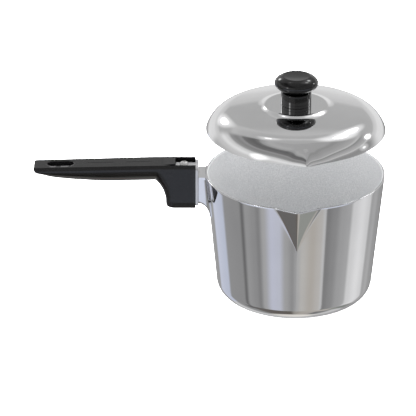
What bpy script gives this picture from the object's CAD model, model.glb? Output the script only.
from bisect import bisect
from math import atan2, cos, degrees, pi, radians, sin, sqrt

import bmesh
import bpy
import numpy as np
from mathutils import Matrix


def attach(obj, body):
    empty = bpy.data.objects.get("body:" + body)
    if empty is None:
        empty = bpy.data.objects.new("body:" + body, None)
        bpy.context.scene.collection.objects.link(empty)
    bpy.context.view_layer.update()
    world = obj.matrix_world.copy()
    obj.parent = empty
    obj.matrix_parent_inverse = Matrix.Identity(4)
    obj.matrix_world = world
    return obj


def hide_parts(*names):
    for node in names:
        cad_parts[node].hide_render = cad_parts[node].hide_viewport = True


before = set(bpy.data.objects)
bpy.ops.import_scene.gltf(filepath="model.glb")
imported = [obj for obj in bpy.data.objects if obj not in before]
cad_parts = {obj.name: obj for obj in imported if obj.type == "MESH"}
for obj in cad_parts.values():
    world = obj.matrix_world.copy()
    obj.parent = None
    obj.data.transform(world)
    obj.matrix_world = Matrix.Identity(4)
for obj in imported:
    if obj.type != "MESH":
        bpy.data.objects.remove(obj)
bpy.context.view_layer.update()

MM = 0.001

# ---------------------------------------------------------------- sizes in mm, angles in degrees
# The pan, a hair smaller than its solid, with the radii of the rings in its base and the heights of those
# below its spout. The coating starts at an angle on the rim's inner rounding, where 90 is the rim's top.
PAN_R, PAN_H, TAPER = 83.97, 121.88, 12.0
CORNER, WALL, FLOOR, RIM_EDGE = 15.3, 2.3, 3.2, 0.8
BASE_RINGS = (12, 30, 45)
WALL_RINGS = (18, 24, 32, 40, 48, 56, 64, 70.9, 74, 75.5)
INNER_LOWEST = 19
COATING_STARTS = 80
SPOUT_REACH, SPOUT_HALF, SPOUT_LENGTH = 8.93, 21.0, 45.0
SPOUT_NOSE, SPOUT_FLANK = 4.5, 26.0
SPOUT_EASE, SPOUT_EASE_HALF, SPOUT_LEAST = 0.03, 0.12, 0.002
SPOUT_FOOT = PAN_H - SPOUT_LENGTH

# The lid, with its beak over the spout
LID_R, LID_EDGE, SHEET = 83.6, 166.5, 1.3
LID_TURN = 5.3
LEAN, SHOULDER_R, SHOULDER_TURN = 18.0, 28.3, 62.2
DOME_R, DOME_TURN = 290.0, 5.0
STEP, STEP_FOOT_R, STEP_CROWN_R = 28.0, 16.0, 6.0
LEDGE, LIP, LIP_T, LIP_EDGE, POUR_HALF = 3.6, 1.0, 1.2, 0.15, 15.0
LEDGE_STEPS = 200
SEAT_RINGS = (20, 12, 6)
SCREW_HOLE_R = 2.7
BEAK_REACH, BEAK_HALF, BEAK_HEIGHT = 6.6, 16.3, 14.5
BEAK_BLEND, BEAK_ROUND, BEAK_INNER_R = 2.4, 0.022, 60
BEAK_RISE = (0.0, 0.3, 0.6, 0.85, 1.0)
BEAK_SHARE = (1.0, 0.86, 0.56, 0.18, -0.1)

# The knob and its collar
CAP_R, CAP_CROWN, CAP_UNDER, CAP_FLAT, CAP_UNDER_R = 20.3, 7.9, 7.5, 5.0, 6.3
DISH_R, DISH_DEPTH, CAP_GAP = 12.4, 0.5, 0.8
CAP_UNDER_START, CAP_UNDER_STEPS, CAP_CROWN_STEPS = -83, 26, 30
NECK_R, NECK_H, NECK_EDGE, STEM_R = 14.1, 9.9, 1.8, 8.0
COLLAR_H, COLLAR_FOOT, SEAM = 2.7, 0.35, 0.06
TURNED_STEPS = 192

# The handle's grip: places along the bar are shares of its taper from the tip, knee heights shares of the
# block's curved part
GRIP_FACE, GRIP_LENGTH, GRIP_TOP, GRIP_DROP, GRIP_TAPER = 93.2, 151.0, 133.0, 2.9, 112.6
GRIP_HALF, GRIP_TIP_HALF, GRIP_CHAMFER, GRIP_BAND, GRIP_DEPTH = 10.4, 9.4, 2.7, 1.4, 13.8
GRIP_PLACES = (0.0, 0.037, 0.133, 0.266, 0.402, 0.531, 0.664, 0.83, 1.0)
GRIP_DEPTHS = (0.09, 0.22, 0.53, 0.73, 0.855, 0.955, 1.0, 1.0, 1.0)
TIP_TOP_R, TIP_LOW_R, TIP_PLAN_R = 0.8, 3.9, 2.4
TIP_RINGS = (0.0, 0.1, 0.3, 0.6, 1.0, 1.5, 2.1, 2.8, 3.5, 4.3, 5.5, 7.5, 10.0)
UNDERSIDE_STEPS, HALVINGS = 73, 16
BLOCK_LENGTH, BLOCK_H, BLOCK_EDGE, BLOCK_CORNER, BLOCK_STRAIGHT = 27.8, 43.4, 3.0, 7.0, 7.0
KNEE_CORNER, KNEE_REACH = 12.9, 23.0
KNEE_HEIGHTS = (0.0, 0.05, 0.11, 0.19, 0.27, 0.35, 0.48, 0.59, 0.68, 0.8, 0.92, 1.0)
KNEE_SHARES = (0.0, 0.008, 0.024, 0.053, 0.09, 0.142, 0.27, 0.42, 0.52, 0.64, 0.8, 1.0)
KNEE_CORNERS = (0.0, 0.005, 0.02, 0.06, 0.14, 0.26, 0.54, 0.85, 1.0, 1.0, 1.0, 1.0)
HANG_START, HANG_LENGTH, HANG_WIDTH, HANG_EDGE = 12.5, 24.9, 10.5, 0.6
RECESS, RECESS_HALF, RECESS_R, RECESS_DEPTH = 18.9, 9.3, 2.0, 5.6
RAMP, RAMP_RISE, RAMP_HALF, RAMP_R = 11.0, 1.2, 8.7, 3.0
GROOVE_STARTS, GROOVE_LENGTH, GROOVE_WIDTH, GROOVE_DEPTH = (50.2, 86.2), 24.0, 0.7, 0.3
GRIP_END = GRIP_FACE + GRIP_LENGTH
BLOCK_END = GRIP_FACE + BLOCK_LENGTH
KNEE_END = BLOCK_END + KNEE_REACH
RECESS_END = GRIP_FACE + RECESS
GRIP_SHARP_ANGLE = 32

BETA = atan2(TAPER, PAN_H)
WALL_ACROSS = WALL / cos(BETA)


# ---------------------------------------------------------------- mesh helpers
def shade_smooth(mesh):
    for polygon in mesh.polygons:
        polygon.use_smooth = True


def mesh_object(name, points, faces, materials=(), mats=()):
    """A smooth mesh from points in mm, linked into the scene, with one material index for each face."""
    mesh = bpy.data.meshes.new(name)
    mesh.from_pydata([tuple(c * MM for c in p) for p in points], [], faces)
    mesh.update()
    shade_smooth(mesh)
    obj = bpy.data.objects.new(name, mesh)
    bpy.context.scene.collection.objects.link(obj)
    for material in materials:
        mesh.materials.append(material)
    for polygon, index in zip(mesh.polygons, mats):
        polygon.material_index = index
    return obj


def rings_object(name, rings, materials, bands=None, start=None, end=None):
    """A skin through closed rings of equal count, with an optional centre point at each end."""
    count = len(rings[0])
    points = [p for ring in rings for p in ring]
    faces, mats = [], []
    bands = bands or [0] * (len(rings) - 1)
    for i in range(len(rings) - 1):
        for j in range(count):
            k = (j + 1) % count
            faces.append((i * count + j, i * count + k, (i + 1) * count + k, (i + 1) * count + j))
            mats.append(bands[i])
    if start is not None:
        points.append(start)
        for j in range(count):
            faces.append((len(points) - 1, (j + 1) % count, j))
            mats.append(bands[0])
    if end is not None:
        points.append(end)
        last = (len(rings) - 1) * count
        for j in range(count):
            faces.append((len(points) - 1, last + j, last + (j + 1) % count))
            mats.append(bands[-1])
    return mesh_object(name, points, faces, materials, mats)


def prism(levels):
    """Points and faces of a closed form through outlines of equal count, from its first end to its last."""
    count = len(levels[0])
    points = [p for level in levels for p in level]
    faces = [tuple(range(count)), tuple(range((len(levels) - 1) * count, len(levels) * count))[::-1]]
    for i in range(len(levels) - 1):
        for j in range(count):
            k = (j + 1) % count
            faces.append((i * count + j, (i + 1) * count + j, (i + 1) * count + k, i * count + k))
    return points, faces


def arc(cx, cz, radius, start, stop, steps):
    """Points of an arc in the (radius, height) plane, from one angle to another."""
    return [
        (cx + radius * cos(radians(a)), cz + radius * sin(radians(a)))
        for a in np.linspace(start, stop, steps)
    ]


def revolve(name, profile, materials):
    """A turned piece: the profile runs from the axis round to the axis again, or closes round a hole."""
    turns = [2 * pi * j / TURNED_STEPS for j in range(TURNED_STEPS)]
    rings, tips = [], []
    for r, z in profile:
        if r < 1e-6:
            tips.append((0, 0, z))
        else:
            rings.append([(r * cos(a), r * sin(a), z) for a in turns])
    if not tips:
        return rings_object(name, rings + rings[:1], materials)
    return rings_object(name, rings, materials, start=tips[0], end=tips[-1])


# ---------------------------------------------------------------- the pan
# Half the angle between the spout's two flanks, seen from above
SPOUT_PHI = atan2(SPOUT_HALF, PAN_R + SPOUT_REACH - sqrt(PAN_R**2 - SPOUT_HALF**2))


def spout_outline(radius, reach, nose, flank, share):
    """Plan of wall and spout from the tip round to the back, the +X half, as fixed counts of points."""
    phi = SPOUT_PHI
    tip = radius + reach * share
    nose, flank = nose * share, flank * share
    n = np.array([cos(phi), -sin(phi)])
    t = np.array([sin(phi), cos(phi)])
    d = tip * sin(phi)
    centre = np.array([0.0, -(tip - nose / sin(phi))])
    side = sqrt((radius + flank) ** 2 - (d + flank) ** 2)
    hollow = (d + flank) * n - side * t
    on_circle = hollow * radius / (radius + flank)
    on_flank = hollow - flank * n
    points = []
    for a in np.linspace(-pi / 2, atan2(n[1], n[0]), 10):
        points.append(centre + nose * np.array([cos(a), sin(a)]))
    start = centre + nose * n
    for s in np.linspace(0, 1, 13)[1:]:
        points.append(start + (on_flank - start) * s)
    first = atan2(*(on_flank - hollow)[::-1])
    last = atan2(*(on_circle - hollow)[::-1])
    if last - first > pi:
        last -= 2 * pi
    if first - last > pi:
        last += 2 * pi
    for a in np.linspace(first, last, 16)[1:]:
        points.append(hollow + flank * np.array([cos(a), sin(a)]))
    first = atan2(on_circle[1], on_circle[0])
    for a in np.linspace(first, pi / 2, 120)[1:]:
        points.append(radius * np.array([cos(a), sin(a)]))
    return np.array(points)


def pan_ring(z, inset):
    """Section of the wall and spout at a height, at a distance inside the outer face."""
    reach = SPOUT_REACH + inset - inset / sin(SPOUT_PHI)
    nose = SPOUT_NOSE - inset / 2
    radius = PAN_R - TAPER * (1 - z / PAN_H) - inset
    share = (z - SPOUT_FOOT) / SPOUT_LENGTH
    rise = max(share, 0.0) + SPOUT_EASE * max(0.0, 1 - abs(share) / SPOUT_EASE_HALF)
    half = spout_outline(radius, reach, nose, SPOUT_FLANK, max(rise, SPOUT_LEAST))
    mirrored = half[1:-1][::-1] * np.array([-1, 1])
    return [(x, y, z) for x, y in np.vstack([half, mirrored])]


def scaled_ring(r, z):
    """A circle with the same directions as the wall's rings, for the corner and the base."""
    below_spout = SPOUT_FOOT - 20
    low = np.array(pan_ring(below_spout, 0))[:, :2]
    low = low / np.hypot(low[:, 0], low[:, 1])[:, None] * r
    return [(x, y, z) for x, y in low]


def build_pan(outside, inside):
    """The vessel's skin, from the middle of its underside, up, over the rim and down to its floor."""
    rings, bands = [], []

    def push(ring, band):
        rings.append(ring)
        bands.append(band)

    centre = (PAN_R - TAPER) + (CORNER * sin(BETA) - CORNER) / cos(BETA)
    for r in BASE_RINGS:
        push(scaled_ring(r, 0), 0)
    for r, z in arc(centre, CORNER, CORNER, -90, -degrees(BETA), 22):
        push(scaled_ring(r, z), 0)
    for z in WALL_RINGS:
        push(pan_ring(z, 0), 0)
    for z in np.linspace(SPOUT_FOOT, PAN_H - RIM_EDGE, 28):
        push(pan_ring(z, 0), 0)
    for a in np.linspace(0, 90, 6)[1:]:
        inset = RIM_EDGE * (1 - cos(radians(a)))
        push(pan_ring(PAN_H - RIM_EDGE * (1 - sin(radians(a))), inset), 0)
    inner = WALL_ACROSS
    for a in np.linspace(90, 0, 6):
        inset = inner - RIM_EDGE * (1 - cos(radians(a)))
        ring = pan_ring(PAN_H - RIM_EDGE * (1 - sin(radians(a))), inset)
        push(ring, 1 if a < COATING_STARTS else 0)
    for z in np.linspace(PAN_H - RIM_EDGE, SPOUT_FOOT, 24)[1:]:
        push(pan_ring(z, inner), 1)
    for z in WALL_RINGS[:0:-1] + (INNER_LOWEST,):
        push(pan_ring(z, inner), 1)
    corner = CORNER - inner
    low = FLOOR + corner
    centre = ((PAN_R - TAPER - inner) * cos(BETA) - corner + low * sin(BETA)) / cos(BETA)
    for r, z in arc(centre, low, corner, -degrees(BETA), -90, 16):
        push(scaled_ring(r, z), 1)
    for r in BASE_RINGS[::-1]:
        push(scaled_ring(r, FLOOR), 1)
    return rings_object(
        "pan_vessel", rings, [outside, inside], bands=bands[:-1], start=(0, 0, 0), end=(0, 0, FLOOR)
    )


# ---------------------------------------------------------------- the lid
def lid_profile(inset):
    """Half section of the lid's sheet from its edge to its middle, as (radius, height)."""
    lean = radians(LEAN)
    r, z = LID_R - inset * cos(lean), LID_EDGE - inset * sin(lean)
    heading = pi / 2 + lean
    points = [(r, z)]

    def turn(radius, angle, steps):
        """Goes on along an arc, to the left for a positive angle."""
        nonlocal r, z, heading
        left = 1 if angle > 0 else -1
        cx = r - left * radius * sin(heading)
        cz = z + left * radius * cos(heading)
        for a in np.linspace(0, radians(angle), steps)[1:]:
            h = heading + a
            points.append((cx + left * radius * sin(h), cz - left * radius * cos(h)))
        heading += radians(angle)
        r, z = points[-1]

    turn(SHOULDER_R - inset, SHOULDER_TURN, 46)
    turn(DOME_R - inset, DOME_TURN, 12)
    slope = 180 - degrees(heading)
    turn(STEP_FOOT_R + inset, -(STEP - slope), 12)
    turn(STEP_CROWN_R - inset, STEP, 14)
    return points


BEAK_PHI = atan2(BEAK_HALF, LID_R + BEAK_REACH - sqrt(LID_R**2 - BEAK_HALF**2))
BEAK_CURVE = np.polyfit(BEAK_RISE, BEAK_SHARE, 4)


def larger(a, b, blend):
    """The larger of two lengths, with a soft change from one to the other."""
    return (a + b + sqrt((a - b) ** 2 + blend**2)) / 2


def beak_radius(a, radius, height, inset):
    """Distance from the axis of wall and beak, at an angle from the beak's own direction."""
    share = float(np.polyval(BEAK_CURVE, min(max(0.0, height) / BEAK_HEIGHT, 1.0)))
    share = larger(share, 0.0, 0.12) * min(1.0, max(0.0, 1.5 - height / BEAK_HEIGHT) * 2)
    far = pi / 2 - BEAK_PHI
    if share < 0.001 or a > far:
        return radius
    tip = radius + (BEAK_REACH + inset - inset / sin(BEAK_PHI)) * share
    crest = sqrt(a**2 + BEAK_ROUND**2 / max(share, 0.05))
    flank = tip * sin(BEAK_PHI) / sin(min(crest, far) + BEAK_PHI)
    fade = min(1.0, 2 * (1 - a / far))
    fade = fade * fade * (3 - 2 * fade)
    return radius + (larger(flank, radius, BEAK_BLEND * sqrt(share)) - radius) * fade


def lid_angles():
    """Directions round the lid from the beak, denser near it."""
    fine = list(np.linspace(0, 26, 79))
    coarse = list(np.linspace(26, 180, 129)[1:])
    half = fine + coarse
    return [radians(a) for a in half + [360 - a for a in half[1:-1][::-1]]]


LID_ANGLES = lid_angles()


def lid_ring_points(r, z, inset):
    """One ring of the lid with its share of the beak, turned as the lid is."""
    height = z - LID_EDGE + inset * sin(radians(LEAN))
    points = []
    for a in LID_ANGLES:
        radius = beak_radius(min(a, 2 * pi - a), r, height, inset) if r > BEAK_INNER_R else r
        turned = a + radians(LID_TURN)
        points.append((radius * sin(turned), -radius * cos(turned), z))
    return points


LID_TOP = lid_profile(0)[-1][1]


def build_lid(material):
    """The lid's skin, from its edge over the top to the hole and back inside."""
    inner = lid_profile(SHEET)
    rings = [lid_ring_points(r, z, 0) for r, z in lid_profile(0)]
    for r in SEAT_RINGS + (SCREW_HOLE_R,):
        rings.append(lid_ring_points(r, LID_TOP, 0))
    for r in (SCREW_HOLE_R,) + SEAT_RINGS[::-1]:
        rings.append(lid_ring_points(r, LID_TOP - SHEET, 0))
    for r, z in inner[::-1]:
        if z > LID_EDGE + 0.1:
            rings.append(lid_ring_points(r, z, SHEET))
    rings.append(lid_ring_points(inner[0][0], LID_EDGE, SHEET))
    rings.append(rings[0])
    return rings_object("lid_cover", rings, [material])


def build_ledge(material):
    """The ledge and lip inside the lid's edge, open behind the beak."""
    r0 = LID_R - LEDGE
    r1 = LID_R - SHEET / 2 - 0.3
    low, high = LID_EDGE - LIP, LID_EDGE + LIP_T
    section = [
        (r0, low + LIP_EDGE), (r0 + LIP_EDGE, low), (r0 + LIP_T - LIP_EDGE, low),
        (r0 + LIP_T, low + LIP_EDGE), (r0 + LIP_T, LID_EDGE), (r1, LID_EDGE + 0.02),
        (r1 - 2 * LIP_EDGE, high), (r0 + LIP_EDGE, high), (r0, high - LIP_EDGE),
    ]
    gap = atan2(POUR_HALF, r0)
    around = np.linspace(gap, 2 * pi - gap, LEDGE_STEPS) + radians(LID_TURN)
    points, faces = prism([[(r * sin(a), -r * cos(a), z) for r, z in section] for a in around])
    return mesh_object("lid_ledge", points, faces, [material])


# ---------------------------------------------------------------- the knob
def build_knob(material):
    """Neck and cap in one, from the middle of the neck's foot to the middle of the dish on top."""
    base = LID_TOP + COLLAR_H
    neck = base + NECK_H
    low = neck + CAP_GAP
    middle = low + CAP_UNDER
    points = [(0, base), (4, base), (10, base)]
    points += arc(NECK_R - SEAM, base + SEAM, SEAM, -90, 0, 5)
    points += [(NECK_R, base + (NECK_H - NECK_EDGE) * s) for s in (0.06, 0.3, 0.7, 0.98)]
    points += arc(NECK_R - NECK_EDGE, neck - NECK_EDGE, NECK_EDGE, 0, 90, 10)
    points += [
        (STEM_R + 0.6, neck), (STEM_R + 0.1, neck + 0.15), (STEM_R, neck + 0.4), (STEM_R + 0.1, low - 0.15),
    ]
    wide = CAP_R - CAP_UNDER_R
    for a in np.radians(np.linspace(CAP_UNDER_START, 0, CAP_UNDER_STEPS)):
        points.append((CAP_UNDER_R + wide * cos(a), middle + CAP_UNDER * sin(a)))
    wide = CAP_R - CAP_FLAT
    share = (DISH_R - CAP_FLAT) / wide
    for a in np.linspace(0, atan2(sqrt(1 - share**2), share), CAP_CROWN_STEPS)[1:]:
        points.append((CAP_FLAT + wide * cos(a), middle + CAP_CROWN * sin(a)))
    rim = middle + CAP_CROWN * sqrt(1 - share**2)
    points[-1] = (DISH_R + 0.12, points[-1][1] - 0.02)
    points.append((DISH_R - 0.12, rim - 0.03))
    for s in (0.94, 0.85, 0.7, 0.5, 0.25):
        points.append((DISH_R * s, rim - DISH_DEPTH * (1 - s * s)))
    points.append((0, rim - DISH_DEPTH))
    return revolve("knob_cap", points, [material])


def build_collar(material):
    points = [(SCREW_HOLE_R, LID_TOP), (NECK_R - COLLAR_FOOT, LID_TOP)]
    points += arc(NECK_R - COLLAR_FOOT, LID_TOP + COLLAR_FOOT, COLLAR_FOOT, -90, 0, 5)[1:]
    points += [(NECK_R, LID_TOP + COLLAR_H * s) for s in (0.2, 0.9)]
    points += arc(NECK_R - SEAM, LID_TOP + COLLAR_H - SEAM, SEAM, 0, 90, 5)
    points += [(SCREW_HOLE_R, LID_TOP + COLLAR_H)]
    return revolve("knob_base", points, [material])


# ---------------------------------------------------------------- the handle's grip
def smooth_table(places, values):
    """A smooth curve through a table of values."""
    slopes = np.gradient(values, places).tolist()

    def curve(x):
        i = min(max(bisect(places, x) - 1, 0), len(places) - 2)
        width = places[i + 1] - places[i]
        t = min(max((x - places[i]) / width, 0.0), 1.0)
        ends = values[i] * (1 + 2 * t) * (1 - t) ** 2 + values[i + 1] * t * t * (3 - 2 * t)
        return ends + width * (slopes[i] * t * (1 - t) ** 2 - slopes[i + 1] * t * t * (1 - t))

    return curve


bar_share = smooth_table(GRIP_PLACES, GRIP_DEPTHS)
knee_share = smooth_table(KNEE_HEIGHTS, KNEE_SHARES)
knee_corner = smooth_table(KNEE_HEIGHTS, KNEE_CORNERS)


def rounding(radius, distance):
    """How far an edge of this radius draws in, at a distance from the end face."""
    return radius - sqrt(radius**2 - max(0.0, radius - distance) ** 2)


def grip_top(d):
    """Height of the grip's flat top at a distance from the pan's axis."""
    return GRIP_TOP - GRIP_DROP * (1 - min(1.0, (GRIP_END - d) / GRIP_TAPER))


def block_width(d, z):
    """Half width of the block and knee at a distance from the pan's axis and a height; negative outside."""
    low = GRIP_TOP - BLOCK_H
    if z < low:
        return -1.0
    foot = low + BLOCK_STRAIGHT
    share = min(max((z - foot) / (GRIP_TOP - GRIP_CHAMFER - GRIP_BAND - foot), 0.0), 1.0)
    inset = rounding(BLOCK_EDGE, z - low)
    corner = BLOCK_CORNER + (KNEE_CORNER - BLOCK_CORNER) * knee_corner(share)
    end = BLOCK_END + KNEE_REACH * knee_share(share) - inset
    half = GRIP_HALF + GRIP_CHAMFER - inset
    if d > end:
        return -1.0
    past = max(0.0, d - (end - corner))
    return half - corner + sqrt(max(0.0, corner**2 - past**2))


def grip_ring(d):
    """Section across the grip: flat top, chamfers, short sides and a rounded or blocky underside."""
    share = min(1.0, (GRIP_END - d) / GRIP_TAPER)
    top = GRIP_TIP_HALF + (GRIP_HALF - GRIP_TIP_HALF) * share
    side = top + GRIP_CHAMFER
    rise = GRIP_BAND + GRIP_CHAMFER
    foot = grip_top(d) - rise
    depth = GRIP_DEPTH * bar_share(share)
    section = [
        (side, 0), (side, GRIP_BAND / 2), (side, GRIP_BAND),
        (top + GRIP_CHAMFER / 2, GRIP_BAND + GRIP_CHAMFER / 2), (top, rise), (top / 2, rise), (0, rise),
    ]
    section += [(-y, z) for y, z in section[:-1][::-1]]
    for a in np.radians(np.linspace(-90, 90, UNDERSIDE_STEPS))[1:-1]:
        across, down = sin(a), cos(a)
        reach = 1 / sqrt((across / side) ** 2 + (down / depth) ** 2)
        inside, outside = 0.0, BLOCK_H + 5
        if d < KNEE_END:
            for _ in range(HALVINGS):
                middle = (inside + outside) / 2
                if middle * abs(across) > block_width(d, foot - middle * down):
                    outside = middle
                else:
                    inside = middle
        reach = max(reach, inside)
        section.append((reach * across, -reach * down))
    from_tip = GRIP_END - d
    high, low = rounding(TIP_TOP_R, from_tip), rounding(TIP_LOW_R, from_tip)
    narrow = 1 - rounding(TIP_PLAN_R, from_tip) / side
    squash = (rise + depth - high - low) / (rise + depth) if from_tip < TIP_LOW_R else 1.0
    return [(-d, y * narrow, foot + rise - high - (rise - z) * squash) for y, z in section]


def stadium(start, length, width, steps):
    """Plan of a long slot with round ends, as (distance from the axis, across)."""
    r = width / 2
    near, far = GRIP_END - start - length + r, GRIP_END - start - r
    plan = [(far + r * cos(a), r * sin(a)) for a in np.radians(np.linspace(-90, 90, steps))]
    return plan + [(near + r * cos(a), r * sin(a)) for a in np.radians(np.linspace(90, 270, steps))]


def hang_cutter():
    """The hanging slot, with an eased edge on top."""
    edge = (2.0, 2 * HANG_EDGE), (0.0, HANG_EDGE), (-0.3 * HANG_EDGE, 0.3 * HANG_EDGE), (-HANG_EDGE, 0.0)
    levels = []
    for rise, grow in edge:
        plan = stadium(HANG_START - grow, HANG_LENGTH + 2 * grow, HANG_WIDTH + 2 * grow, 14)
        levels.append([(-d, y, grip_top(d) + rise) for d, y in plan])
    levels.append([(x, y, GRIP_TOP - BLOCK_H) for x, y, _ in levels[-1]])
    return prism(levels)


def groove_cutter(start):
    plan = stadium(start, GROOVE_LENGTH, GROOVE_WIDTH, 6)
    return prism([[(-d, y, grip_top(d) + rise) for d, y in plan] for rise in (1.0, -GROOVE_DEPTH)])


def recess_cutter():
    """The recess for the strap's tongue, open towards the pan."""
    plan = [(GRIP_FACE - 2, -RECESS_HALF)]
    for sign, corner in ((-1, np.linspace(90, 0, 7)), (1, np.linspace(0, 90, 7))):
        for a in np.radians(corner):
            across = sign * (RECESS_HALF - RECESS_R + RECESS_R * sin(a))
            plan.append((RECESS_END - RECESS_R + RECESS_R * cos(a), across))
    plan.append((GRIP_FACE - 2, RECESS_HALF))
    return prism([[(-d, y, z) for d, y in plan] for z in (GRIP_TOP + 3, GRIP_TOP - RECESS_DEPTH)])


def insert_cutter():
    """The hole that holds the threaded insert."""
    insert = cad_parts["handle_insert"]
    corners = [insert.matrix_world @ v.co for v in insert.data.vertices]
    xs, ys, zs = ([p[k] / MM for p in corners] for k in range(3))
    cx, r = (min(xs) + max(xs)) / 2, (max(ys) - min(ys)) / 2
    plan = [(cx + r * cos(a), r * sin(a)) for a in np.radians(np.arange(0, 360, 10))]
    return prism([[(x, y, z) for x, y in plan] for z in (GRIP_TOP - RECESS_DEPTH + 1, min(zs))])


def ramp_form():
    """The wedge in front of the recess, as rings from its low end to the recess."""
    low = GRIP_TOP - 0.5
    rings = []
    for s in list(np.linspace(0, RAMP_R, 7)) + list(np.linspace(RAMP_R, RAMP, 5)[1:]):
        half = RAMP_HALF - rounding(RAMP_R, s)
        high = GRIP_TOP + RAMP_RISE * s / RAMP
        x = -(RECESS_END + RAMP - s)
        rings.append([(x, half, low), (x, half, high), (x, -half, high), (x, -half, low)])
    return prism(rings)


def combine(body, operation, forms):
    """Joins forms to a mesh object or cuts them from it. Each form is a pair of points and faces."""
    points, faces = [], []
    for form_points, form_faces in forms:
        faces += [tuple(i + len(points) for i in face) for face in form_faces]
        points += form_points
    tool = mesh_object("grip_tool", points, faces)
    for obj in (body, tool):
        skin = bmesh.new()
        skin.from_mesh(obj.data)
        bmesh.ops.recalc_face_normals(skin, faces=skin.faces)
        skin.to_mesh(obj.data)
        skin.free()
    change = body.modifiers.new("tool", "BOOLEAN")
    change.operation, change.solver, change.object = operation, "EXACT", tool
    bpy.context.view_layer.update()
    result = bpy.data.meshes.new_from_object(body.evaluated_get(bpy.context.evaluated_depsgraph_get()))
    body.modifiers.clear()
    body.data = result
    bpy.data.objects.remove(tool)


def build_grip(material):
    """The handle's plastic, through rings from its tip to its face at the pan, closest in the knee."""
    distances = [GRIP_END - s for s in TIP_RINGS]
    distances += list(np.arange(GRIP_END - 13, KNEE_END + 1, -3.0))
    distances += list(np.arange(KNEE_END + 0.5, BLOCK_END + 4, -0.6))
    distances += list(np.arange(BLOCK_END + 3.5, BLOCK_END - 8, -0.25))
    distances += list(np.linspace(BLOCK_END - 8.5, GRIP_FACE, 6))
    points, faces = prism([grip_ring(d) for d in distances])
    body = mesh_object("grip", points, faces, [material])
    combine(body, "UNION", [ramp_form()])
    cutters = [hang_cutter(), recess_cutter(), insert_cutter()]
    combine(body, "DIFFERENCE", cutters + [groove_cutter(s) for s in GROOVE_STARTS])
    shade_smooth(body.data)
    body.data.set_sharp_from_angle(angle=radians(GRIP_SHARP_ANGLE))
    return body


# ---------------------------------------------------------------- materials
def srgb(*levels):
    out = []
    for level in levels:
        c = level / 255
        out.append(c / 12.92 if c <= 0.04045 else ((c + 0.055) / 1.055) ** 2.4)
    return out[0] if len(out) == 1 else tuple(out)


class Nodes:
    """Short names for building a node tree."""

    def __init__(self, tree):
        self.tree = tree

    def add(self, kind, **settings):
        node = self.tree.nodes.new(kind)
        for key, value in settings.items():
            setattr(node, key, value)
        return node

    def link(self, source, target):
        self.tree.links.new(source, target)

    def plug(self, socket, value):
        if isinstance(value, bpy.types.NodeSocket):
            self.link(value, socket)
        else:
            socket.default_value = value

    def math(self, operation, a, b=0.0):
        node = self.add("ShaderNodeMath", operation=operation)
        self.plug(node.inputs[0], a)
        self.plug(node.inputs[1], b)
        return node.outputs[0]

    def mix(self, factor, a, b):
        node = self.add("ShaderNodeMix", data_type="RGBA")
        self.plug(node.inputs[0], factor)
        self.plug(node.inputs[6], a)
        self.plug(node.inputs[7], b)
        return node.outputs[2]

    def ramp(self, factor, stops, interpolation="LINEAR"):
        node = self.add("ShaderNodeValToRGB")
        node.color_ramp.interpolation = interpolation
        elements = node.color_ramp.elements
        while len(elements) < len(stops):
            elements.new(0.5)
        for element, (place, colour) in zip(elements, stops):
            element.position = place
            element.color = tuple(colour) + (1.0,)
        self.plug(node.inputs[0], factor)
        return node.outputs[0]

    def noise(self, vector, scale, detail=2.0, roughness=0.5):
        node = self.add("ShaderNodeTexNoise")
        self.plug(node.inputs["Vector"], vector)
        node.inputs["Scale"].default_value = scale
        node.inputs["Detail"].default_value = detail
        node.inputs["Roughness"].default_value = roughness
        return node.outputs["Fac"]

    def stretch(self, vector, scale):
        node = self.add("ShaderNodeMapping")
        self.plug(node.inputs["Vector"], vector)
        node.inputs["Scale"].default_value = scale
        return node.outputs[0]

    def span(self, value, low, high, out_low, out_high, smooth=False):
        node = self.add("ShaderNodeMapRange")
        node.interpolation_type = "SMOOTHSTEP" if smooth else "LINEAR"
        self.plug(node.inputs[0], value)
        for i, v in enumerate((low, high, out_low, out_high)):
            node.inputs[i + 1].default_value = v
        return node.outputs[0]


BUMP_DEPTH = 0.0002


def material(name, metallic, specular=0.5):
    mat = bpy.data.materials.new(name)
    mat.use_nodes = True
    nodes = Nodes(mat.node_tree)
    shader = mat.node_tree.nodes["Principled BSDF"]
    shader.inputs["Metallic"].default_value = metallic
    shader.inputs["IOR"].default_value = 1.5
    shader.inputs["Specular IOR Level"].default_value = specular
    where = nodes.add("ShaderNodeTexCoord").outputs["Object"]
    return mat, nodes, shader, where


def bump(nodes, shader, height, strength):
    node = nodes.add("ShaderNodeBump")
    node.inputs["Strength"].default_value = strength
    node.inputs["Distance"].default_value = BUMP_DEPTH
    nodes.plug(node.inputs["Height"], height)
    nodes.link(node.outputs[0], shader.inputs["Normal"])


def edge_mask(nodes, low=0.505, high=0.56):
    """0 on open surfaces, 1 on sharp outer edges."""
    geometry = nodes.add("ShaderNodeNewGeometry")
    return nodes.span(geometry.outputs["Pointiness"], low, high, 0.0, 1.0)


def patches(nodes, slow, dark, light):
    """A colour that changes slowly between two tones."""
    return nodes.mix(nodes.span(slow, 0.35, 0.65, 0.0, 1.0), dark + (1,), light + (1,))


def worn(nodes, tone, edges, share, colour):
    """Another colour along the edges."""
    return nodes.mix(nodes.math("MULTIPLY", edges, share), tone, colour + (1,))


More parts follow.
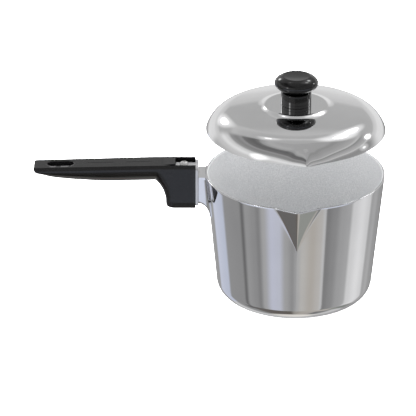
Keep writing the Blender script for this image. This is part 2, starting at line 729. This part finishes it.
def metal(name, dark, light, rough, grain, grain_strength, patch, wear):
    """Bare metal: slow tone and gloss changes, fine polishing lines along one direction, brighter edges."""
    mat, nodes, shader, where = material(name, 1.0)
    slow = nodes.noise(where, patch, 3.0)
    lines = nodes.noise(nodes.stretch(where, grain), 1.0, 2.0, 0.6)
    edges = edge_mask(nodes)
    nodes.link(worn(nodes, patches(nodes, slow, dark, light), edges, 0.5, wear), shader.inputs["Base Color"])
    gloss = nodes.span(slow, 0.3, 0.7, rough[0], rough[1])
    gloss = nodes.math("ADD", gloss, nodes.math("MULTIPLY", nodes.span(lines, 0.4, 0.7, 0.0, 1.0), rough[2]))
    gloss = nodes.math("ADD", gloss, nodes.math("MULTIPLY", edges, 0.036))
    nodes.link(gloss, shader.inputs["Roughness"])
    bump(nodes, shader, lines, grain_strength)
    return mat


def turned_metal(name, dark, light, rough, pitch, strength, wear):
    """Spun metal: the polishing lines run in circles about the axis."""
    mat, nodes, shader, where = material(name, 1.0)
    length = nodes.add("ShaderNodeVectorMath", operation="LENGTH")
    nodes.link(nodes.stretch(where, (1, 1, 0)), length.inputs[0])
    lines_node = nodes.add("ShaderNodeTexNoise")
    lines_node.noise_dimensions = "1D"
    lines_node.inputs["Scale"].default_value = 1.0
    lines_node.inputs["Detail"].default_value = 3.0
    nodes.link(nodes.math("MULTIPLY", length.outputs["Value"], pitch), lines_node.inputs["W"])
    lines = lines_node.outputs["Fac"]
    slow = nodes.noise(where, 14.0, 3.0)
    tone = worn(nodes, patches(nodes, slow, dark, light), edge_mask(nodes), 0.5, wear)
    nodes.link(tone, shader.inputs["Base Color"])
    gloss = nodes.span(slow, 0.3, 0.7, rough[0], rough[1])
    gloss = nodes.math("ADD", gloss, nodes.math("MULTIPLY", lines, rough[2]))
    nodes.link(gloss, shader.inputs["Roughness"])
    bump(nodes, shader, lines, strength)
    return mat


def coating(name):
    """Light grey speckled non-stick coating."""
    mat, nodes, shader, where = material(name, 0.0, specular=0.45)
    speck = nodes.noise(where, 900.0, 2.0, 0.65)
    cloud = nodes.noise(where, 30.0, 3.0)
    fleck = nodes.add("ShaderNodeTexVoronoi")
    fleck.inputs["Scale"].default_value = 520.0
    nodes.link(where, fleck.inputs["Vector"])
    speckles = [(0.3, srgb(176, 177, 179)), (0.5, srgb(192, 193, 194)), (0.72, srgb(210, 210, 211))]
    tone = nodes.ramp(speck, speckles)
    tone = nodes.mix(nodes.span(cloud, 0.35, 0.7, 0.0, 0.28), tone, srgb(182, 184, 187) + (1,))
    dots = nodes.span(fleck.outputs["Distance"], 0.08, 0.2, 0.35, 0.0)
    tone = nodes.mix(dots, tone, srgb(150, 152, 155) + (1,))
    tone = worn(nodes, tone, edge_mask(nodes, 0.52, 0.6), 0.4, srgb(205, 206, 208))
    nodes.link(tone, shader.inputs["Base Color"])
    nodes.link(nodes.span(speck, 0.3, 0.7, 0.38, 0.52), shader.inputs["Roughness"])
    bump(nodes, shader, speck, 0.25)
    return mat


def moulding(name, dark, light, rough, pebble, strength, rub, specular=0.5):
    """Moulded plastic: faint pebble, slow changes of gloss, rubbed edges."""
    mat, nodes, shader, where = material(name, 0.0, specular)
    grain = nodes.noise(where, pebble, 3.0, 0.6)
    slow = nodes.noise(where, 25.0, 3.0)
    tone = worn(nodes, patches(nodes, slow, dark, light), edge_mask(nodes, 0.51, 0.58), 0.6, rub)
    nodes.link(tone, shader.inputs["Base Color"])
    gloss = nodes.span(slow, 0.3, 0.7, rough[0], rough[1])
    gloss = nodes.math("ADD", gloss, nodes.math("MULTIPLY", grain, 0.05))
    nodes.link(gloss, shader.inputs["Roughness"])
    bump(nodes, shader, grain, strength)
    return mat


POLISHED = metal(
    "polished_pan_metal", (0.80, 0.80, 0.815), (0.86, 0.86, 0.87), (0.03, 0.055, 0.02), (9, 9, 1700),
    grain_strength=0.012, patch=14.0, wear=(0.9, 0.9, 0.91),
)
LID_METAL = turned_metal(
    "polished_lid_metal", (0.82, 0.82, 0.825), (0.88, 0.88, 0.885), (0.03, 0.06, 0.015),
    pitch=1500.0, strength=0.002, wear=(0.92, 0.92, 0.93),
)
CAST = metal(
    "polished_bracket_metal", (0.78, 0.78, 0.79), (0.85, 0.85, 0.86), (0.05, 0.09, 0.03), (60, 500, 500),
    grain_strength=0.02, patch=30.0, wear=(0.9, 0.9, 0.91),
)
SATIN = metal(
    "satin_strap_metal", (0.60, 0.60, 0.61), (0.70, 0.70, 0.71), (0.26, 0.36, 0.08), (900, 25, 25),
    grain_strength=0.12, patch=40.0, wear=(0.8, 0.8, 0.81),
)
STEEL = metal(
    "screw_metal", (0.52, 0.52, 0.52), (0.62, 0.62, 0.61), (0.3, 0.4, 0.06), (400, 400, 400),
    grain_strength=0.08, patch=160.0, wear=(0.74, 0.73, 0.71),
)
BRASS = metal(
    "insert_metal", (0.62, 0.44, 0.18), (0.72, 0.54, 0.24), (0.2, 0.32, 0.06), (600, 600, 600),
    grain_strength=0.08, patch=160.0, wear=(0.82, 0.66, 0.36),
)
COATING = coating("speckled_coating")
GRIP = moulding(
    "satin_grip_plastic", (0.0006, 0.0006, 0.0007), (0.0013, 0.0013, 0.0014), (0.07, 0.1),
    pebble=900.0, strength=0.004, rub=(0.004, 0.004, 0.0042),
)
GLOSS = moulding(
    "gloss_knob_plastic", (0.0001, 0.0001, 0.0001), (0.0003, 0.0003, 0.0003), (0.03, 0.05),
    pebble=90.0, strength=0.001, rub=(0.001, 0.001, 0.001), specular=0.6,
)

# ---------------------------------------------------------------- pieces
pan = build_pan(POLISHED, COATING)
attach(pan, "pan")
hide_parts("pan_body")

lid = build_lid(LID_METAL)
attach(lid, "lid")
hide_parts("lid_shell")
ledge = build_ledge(LID_METAL)
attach(ledge, "lid")

knob = build_knob(GLOSS)
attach(knob, "lid")
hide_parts("lid_knob")
collar = build_collar(GLOSS)
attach(collar, "lid")
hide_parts("knob_collar")

grip = build_grip(GRIP)
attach(grip, "pan")
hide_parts("handle_grip")

FINISH = {
    "handle_bracket": CAST,
    "handle_strap": SATIN,
    "handle_screw": STEEL,
    "knob_screw": STEEL,
    "knob_washer": STEEL,
    "handle_insert": BRASS,
    "knob_insert": BRASS,
}
for node, finish in FINISH.items():
    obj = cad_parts[node]
    if not obj.material_slots:
        obj.data.materials.append(finish)
    for place in obj.material_slots:
        place.material = finish

# ---------------------------------------------------------------- floor
FLOOR_HALF, FLOOR_DROP = 6000, 0.4
signs = ((-1, -1), (1, -1), (1, 1), (-1, 1))
floor_corners = [(x * FLOOR_HALF, y * FLOOR_HALF, -FLOOR_DROP) for x, y in signs]
floor = mesh_object("floor", floor_corners, [(0, 1, 2, 3)])
floor_mat = bpy.data.materials.new("pale_floor")
floor_mat.use_nodes = True
floor_nodes = Nodes(floor_mat.node_tree)
floor_shader = floor_mat.node_tree.nodes["Principled BSDF"]
floor_where = floor_nodes.add("ShaderNodeTexCoord").outputs["Object"]
floor_cloud = floor_nodes.noise(floor_where, 3.0)
floor_tone = floor_nodes.mix(floor_cloud, (0.90, 0.90, 0.90, 1), (0.93, 0.93, 0.93, 1))
floor_nodes.link(floor_tone, floor_shader.inputs["Base Color"])
floor_shader.inputs["Roughness"].default_value = 0.9
floor_shader.inputs["Emission Color"].default_value = (1, 1, 1, 1)
floor_shader.inputs["Emission Strength"].default_value = 0.75
floor.data.materials.append(floor_mat)
floor.visible_glossy = False

# ---------------------------------------------------------------- studio: a soft surround and two soft boxes
world = bpy.data.worlds.new("studio")
bpy.context.scene.world = world
world.use_nodes = True
tree = world.node_tree
tree.nodes.clear()
w = Nodes(tree)
direction = w.add("ShaderNodeTexCoord").outputs["Generated"]
split = w.add("ShaderNodeSeparateXYZ")
w.link(direction, split.inputs[0])
dx, dy, dz = split.outputs
around = w.math("ARCTAN2", dx, w.math("MULTIPLY", dy, -1.0))
around = w.math("ADD", w.math("DIVIDE", around, 2 * pi), 0.5)


def surround_ramp(factor, stops, whole):
    """A ramp through stops given as (degrees from the middle of the whole range, grey or colour)."""
    placed = []
    for angle, level in stops:
        colour = srgb(level, level, level) if isinstance(level, int) else srgb(*level)
        placed.append((angle / whole + 0.5, colour))
    return w.ramp(factor, placed, "EASE")


def rise_between(value, low, high):
    """0 below low, 1 above high, and a soft change between them."""
    return w.span(value, low, high, 0.0, 1.0, True)


def turn_between(start, stop):
    """The same for the direction round the object, in degrees from the front."""
    return rise_between(around, 0.5 + start / 360, 0.5 + stop / 360)


# The tones of these six tables started from greys read off the photo's reflections, each at the direction
# that it mirrors, and were then changed by hand until the render's greys came close. report.md says more.
# The first three tables hold degrees from the front, negative to the left, and a grey or colour.
# Round the object, seen in the upright wall
SIDES = [
    (-180, 126), (-163, 166), (-148, 160), (-142, (206, 211, 226)), (-118, (198, 204, 220)), (-112, 152),
    (-84, 148), (-79, 110), (-73, 158), (-60, 150), (-54, 138), (-46, 174), (-34, (200, 203, 217)),
    (-24, (198, 201, 213)), (-14, 170), (-4, 152), (3, 178), (10, (192, 190, 186)), (24, (182, 177, 170)),
    (36, (190, 187, 183)), (41, 200), (44, 132), (56, 145), (68, 166), (80, 174), (86, 216), (104, 232),
    (118, 218), (124, 170), (134, 178), (144, 160), (180, 126),
]
# Lower down, seen in the spout's flanks
FLANKS = [
    (-180, 200), (-128, 212), (-112, 158), (-98, 148), (-90, 108), (-40, (108, 103, 98)),
    (-8, (104, 99, 94)), (2, (166, 162, 156)), (20, (180, 175, 168)), (56, (188, 183, 176)),
    (74, (150, 152, 147)), (96, (134, 138, 134)), (118, (150, 150, 148)), (140, 166), (180, 200),
]
# Lower still, seen in the rounded foot of the wall
LOW = [
    (-180, 200), (-128, 212), (-112, 158), (-84, 150), (-74, (112, 108, 104)), (-40, (106, 101, 97)),
    (-8, (104, 99, 94)), (2, (160, 156, 150)), (14, (176, 171, 164)), (36, (172, 168, 162)), (44, 122),
    (60, 132), (76, 156), (86, 206), (116, 212), (140, 168), (180, 200),
]
# Above, seen in the lid, by degrees of elevation: behind it, in front to the left and in front to the right
BEHIND = [
    (-20, 236), (8, 230), (14, 214), (18, 206), (21, 182), (26, 180), (36, 178), (42, 194), (50, 185),
    (60, 180), (66, 200), (76, 180), (90, 176),
]
LEFT = [
    (-12, 176), (2, 190), (14, 206), (24, 234), (31, 214), (37, 150), (43, 138), (48, 150), (52, 112),
    (60, 102), (63, 118), (66, 160), (72, 178), (80, 170), (90, 168),
]
RIGHT = [
    (-12, 186), (0, 176), (8, 148), (14, 144), (19, 158), (22, 204), (25, 178), (33, 160), (36, 140),
    (39, 196), (43, 170), (56, 158), (62, 150), (68, 166), (80, 168), (90, 168),
]
sides, flanks, low = (surround_ramp(around, stops, 360) for stops in (SIDES, FLANKS, LOW))
climb = w.math("ADD", w.math("DIVIDE", w.math("ARCSINE", dz), pi), 0.5)
behind, left, right = (surround_ramp(climb, stops, 180) for stops in (BEHIND, LEFT, RIGHT))
ahead = w.mix(turn_between(-20, -4), left, right)
ahead = w.mix(turn_between(-132, -116), behind, ahead)
above = w.mix(turn_between(104, 128), ahead, behind)
# From straight down upwards: the floor, LOW, FLANKS, SIDES, a pale zone in front and the part above
colour = w.mix(rise_between(dz, -0.985, -0.95), srgb(236, 232, 226) + (1,), low)
colour = w.mix(rise_between(dz, -0.84, -0.80), colour, flanks)
colour = w.mix(rise_between(dz, -0.725, -0.69), colour, sides)
before_right = w.span(around, 0.5 + 60 / 360, 0.5 + 84 / 360, 1.0, 0.0, True)
facing = w.math("MULTIPLY", turn_between(-84, -60), before_right)
facing = w.math("MULTIPLY", facing, rise_between(dz, -0.53, -0.47))
colour = w.mix(facing, colour, srgb(222, 228, 243) + (1,))
colour = w.mix(rise_between(dz, -0.24, -0.08), colour, above)


def glow(azimuth, elevation, core, edge, bright, wide):
    """A soft lamp painted in the surround: a small strong core in a wide weak halo, sized in degrees."""
    a, e = radians(azimuth), radians(elevation)
    dot = w.add("ShaderNodeVectorMath", operation="DOT_PRODUCT")
    w.link(direction, dot.inputs[0])
    dot.inputs[1].default_value = (cos(e) * sin(a), -cos(e) * cos(a), sin(e))
    near = dot.outputs["Value"]
    inner = w.span(near, cos(radians(core * 1.5)), cos(radians(core * 0.7)), 0.0, bright, True)
    outer = w.span(near, cos(radians(edge)), cos(radians(core)), 0.0, wide, True)
    return w.math("ADD", inner, outer)


# Azimuth, elevation, radius of core and halo, brightness of core and halo, placed from the highlights that the
# photo shows on the lid
LAMPS = [
    (132, 56, 4.2, 18, 3.0, 0.5), (147, 44, 3.6, 14, 6.0, 0.4), (-151, 27, 4.4, 15, 6.0, 0.45),
    (-51, 23, 3.4, 14, 6.0, 0.5), (-149, 65, 1.6, 8, 1.2, 0.25), (96, 14, 2.5, 10, 0.6, 0.3),
    (117, 25, 3.6, 9, 6.0, 0.3),
]
total = 0.0
for lamp in LAMPS:
    total = w.math("ADD", glow(*lamp), total)
grey = w.add("ShaderNodeCombineXYZ")
for k in range(3):
    w.link(total, grey.inputs[k])
lit = w.add("ShaderNodeMix", data_type="RGBA", blend_type="ADD", clamp_result=False)
lit.inputs[0].default_value = 1.0
w.link(colour, lit.inputs[6])
w.link(grey.outputs[0], lit.inputs[7])


def background(colour, strength):
    node = w.add("ShaderNodeBackground")
    w.plug(node.inputs["Color"], colour)
    node.inputs["Strength"].default_value = strength
    return node.outputs[0]


def choose(factor, otherwise, then):
    node = w.add("ShaderNodeMixShader")
    for socket, source in zip(node.inputs, (factor, otherwise, then)):
        w.link(source, socket)
    return node.outputs[0]


# Glossy rays see the painted surround, the camera sees white, and all other light is an even white
WHITE, EVEN_STRENGTH = (1, 1, 1, 1), 4.0
path = w.add("ShaderNodeLightPath")
painted = background(lit.outputs[2], 1.0)
light = choose(path.outputs["Is Glossy Ray"], background(WHITE, EVEN_STRENGTH), painted)
light = choose(path.outputs["Is Camera Ray"], light, background(WHITE, 1.0))
output = w.add("ShaderNodeOutputWorld")
w.link(light, output.inputs[0])

AIM_HEIGHT, BOX_DISTANCE, BOX_WIDTH, BOX_HEIGHT = 0.15, 3.0, 1.2, 0.9


def soft_box(name, azimuth, elevation, radiance):
    """A rectangular lamp that faces the object from an angle measured from the front."""
    a, e = radians(azimuth), radians(elevation)
    lamp = bpy.data.lights.new(name, "AREA")
    lamp.shape = "RECTANGLE"
    lamp.size, lamp.size_y = BOX_WIDTH, BOX_HEIGHT
    lamp.energy = radiance * pi * BOX_WIDTH * BOX_HEIGHT
    obj = bpy.data.objects.new(name, lamp)
    bpy.context.scene.collection.objects.link(obj)
    level = BOX_DISTANCE * cos(e)
    obj.location = (level * sin(a), -level * cos(a), AIM_HEIGHT + BOX_DISTANCE * sin(e))
    obj.rotation_euler = (pi / 2 - e, 0, a)
    obj.visible_glossy = False


soft_box("box_right", 132, 54, 2.0)
soft_box("box_left", -53, 40, 1.5)

# ---------------------------------------------------------------- camera
camera = bpy.data.cameras.new("camera")
camera.sensor_width = 36
camera.lens = 271.148
camera.clip_start = 0.1
camera.clip_end = 30
view = bpy.data.objects.new("camera", camera)
bpy.context.scene.collection.objects.link(view)
view.location = (-0.08159, -2.67715, 1.3142)
view.rotation_euler = (radians(65.336), 0, 0)
bpy.context.scene.camera = view
bpy.context.scene.view_settings.view_transform = "Standard"
